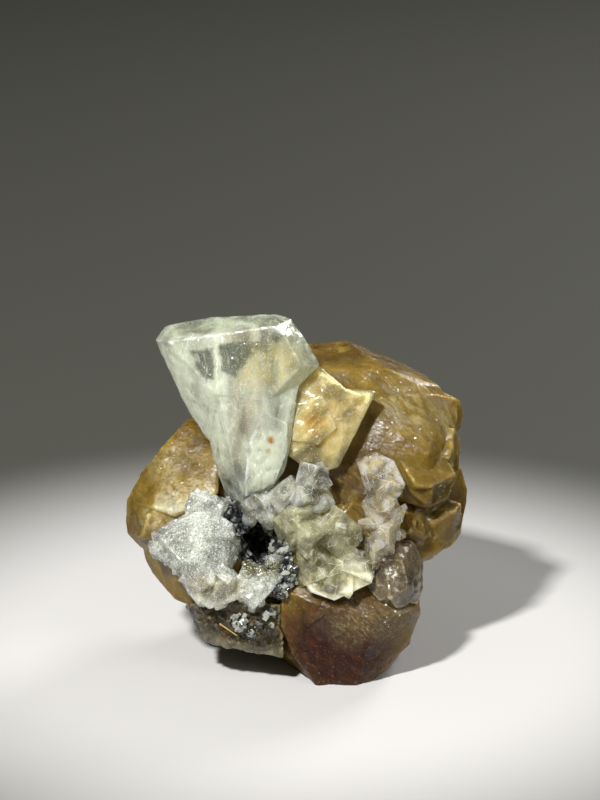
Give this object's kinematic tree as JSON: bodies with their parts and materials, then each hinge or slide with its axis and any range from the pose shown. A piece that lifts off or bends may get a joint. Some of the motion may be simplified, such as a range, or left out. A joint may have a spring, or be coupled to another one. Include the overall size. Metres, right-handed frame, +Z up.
{
  "type": "scheelite specimen",
  "caption": "Mineral specimen: honey-brown scheelite crystals grown together, a clear tapering crystal leaning out of the front, and small pale and smoky crystals round a dark pit.",
  "frame": {"origin": "middle of the foot of the whole specimen's box, on the surface it stands on", "axes": "+Z up; -Y out of the front, where the clear crystal leans; +X to the right seen from the front"},
  "size_m": [0.0316, 0.0252, 0.0327],
  "materials": {
    "scheelite": "waxy translucent honey brown",
    "clear_crystal": "clear, part frosted",
    "yellow_crystal": "straw yellow, glassy",
    "smoky_crystal": "smoky brown, glassy",
    "pale_crystal": "pale green-yellow, glassy",
    "white_crystal": "white, sparkling",
    "grey_green_stone": "grey-green, dull glassy",
    "dark_stone": "black and white grains"
  },
  "bodies": {
    "root": {"scheelite_mass": "scheelite", "clear_crystal": "clear_crystal", "yellow_crystal": "yellow_crystal", "smoky_crystal": "smoky_crystal", "pale_crystals_right": "pale_crystal", "grey_crystals_upper": "pale_crystal", "white_crystal_chain": "white_crystal", "sparkling_crystals_left": "white_crystal", "lower_left_block": "grey_green_stone", "dark_grains": "dark_stone"}
  },
  "joints": []
}
